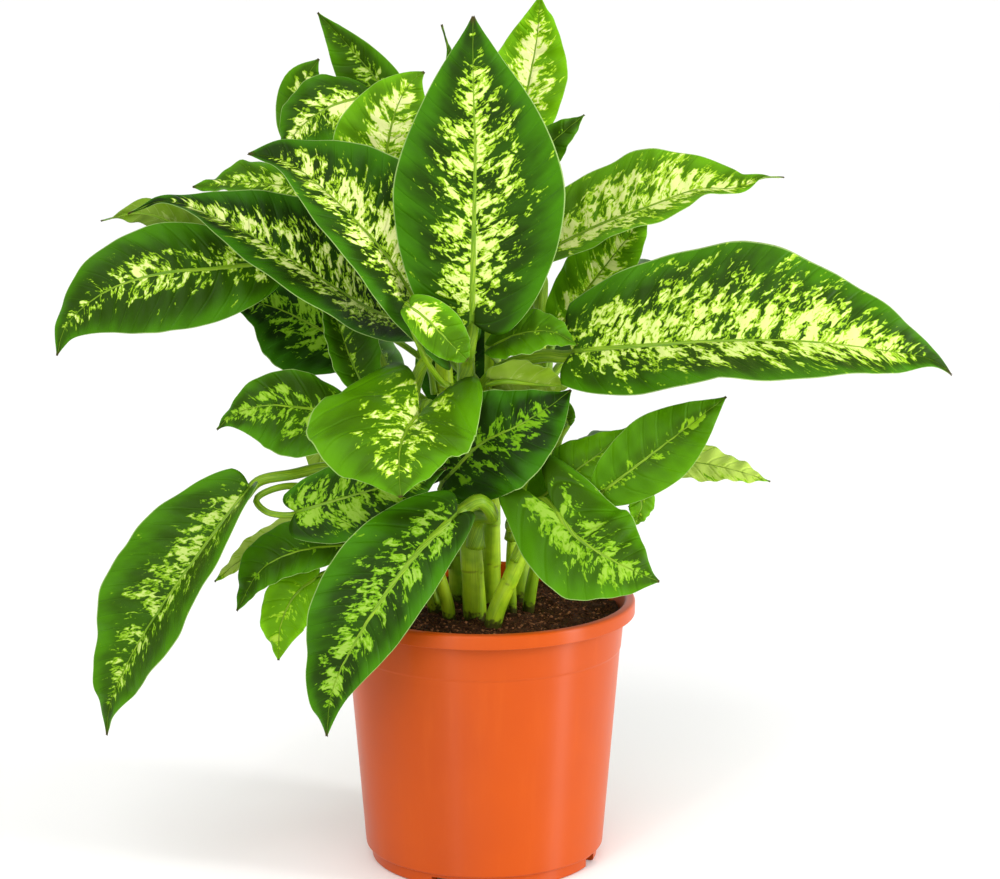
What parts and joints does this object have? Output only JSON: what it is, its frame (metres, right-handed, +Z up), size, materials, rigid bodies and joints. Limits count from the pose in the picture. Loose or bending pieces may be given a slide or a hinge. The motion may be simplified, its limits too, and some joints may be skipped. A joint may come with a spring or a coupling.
{
  "type": "potted dieffenbachia",
  "caption": "Dieffenbachia house plant with waved, cream-blotched leaves on green canes, standing in soil in a round tapered nursery pot with a rolled rim.",
  "frame": {"origin": "middle of the pot's underside, on the surface that it stands on", "axes": "+Z up along the pot's axis, -Y towards the side that the plant faces, +X to the right of a viewer on that side"},
  "size_m": [0.487, 0.305, 0.485],
  "materials": {
    "pot_plastic": "satin moulded terracotta-orange plastic",
    "soil": "loose dark potting soil",
    "cane": "smooth yellow-green stem skin",
    "leaf_cream": "satin green blade with cream and yellow-green blotches",
    "leaf_green": "satin deep green blade with few yellow-green blotches"
  },
  "bodies": {
    "root": {"pot": "pot_plastic", "soil": "soil", "cane_front": "cane", "cane_fork": "cane", "cane_rear": "cane", "shoot_right": "cane", "shoot_mid": "cane", "cane_left": "cane", "cane_side": "cane", "cane_back_left": "cane", "cane_back_right": "cane", "leaf_crown_front": "leaf_cream", "leaf_top_right": "leaf_cream", "leaf_top_tail": "leaf_cream", "leaf_top_left": "leaf_cream", "leaf_upper_left": "leaf_cream", "leaf_far_left_low": "leaf_cream", "leaf_far_left_high": "leaf_cream", "leaf_blotched": "leaf_cream", "leaf_long_left": "leaf_cream", "leaf_long_under": "leaf_green", "leaf_left_narrow": "leaf_cream", "leaf_left_big": "leaf_green", "leaf_left_shade": "leaf_green", "leaf_left_folded": "leaf_green", "leaf_left_mid": "leaf_green", "leaf_heart": "leaf_cream", "leaf_centre_pale": "leaf_cream", "leaf_right_high": "leaf_cream", "leaf_right_back": "leaf_cream", "leaf_right_big": "leaf_cream", "leaf_tip_right": "leaf_green", "leaf_under_crown": "leaf_green", "leaf_underside": "leaf_green", "leaf_centre_dark": "leaf_green", "leaf_low_left": "leaf_green", "leaf_low_left_big": "leaf_green", "leaf_pale_low": "leaf_green", "leaf_low_dark": "leaf_green", "leaf_low_yellow": "leaf_green", "leaf_low_front": "leaf_green", "leaf_low_right": "leaf_green", "leaf_right_mid": "leaf_green", "leaf_right_low": "leaf_green", "leaf_right_pale": "leaf_green", "leaf_right_drop": "leaf_green", "leaf_young_right": "leaf_green", "leaf_back_high_left": "leaf_cream", "leaf_back_mid_left": "leaf_green", "leaf_back_low_left": "leaf_green", "leaf_back_high": "leaf_cream", "leaf_back_high_right": "leaf_cream", "leaf_back_mid_right": "leaf_green", "leaf_back_low_right": "leaf_green", "leaf_back_middle": "leaf_green", "leaf_back_low": "leaf_green"}
  },
  "joints": []
}
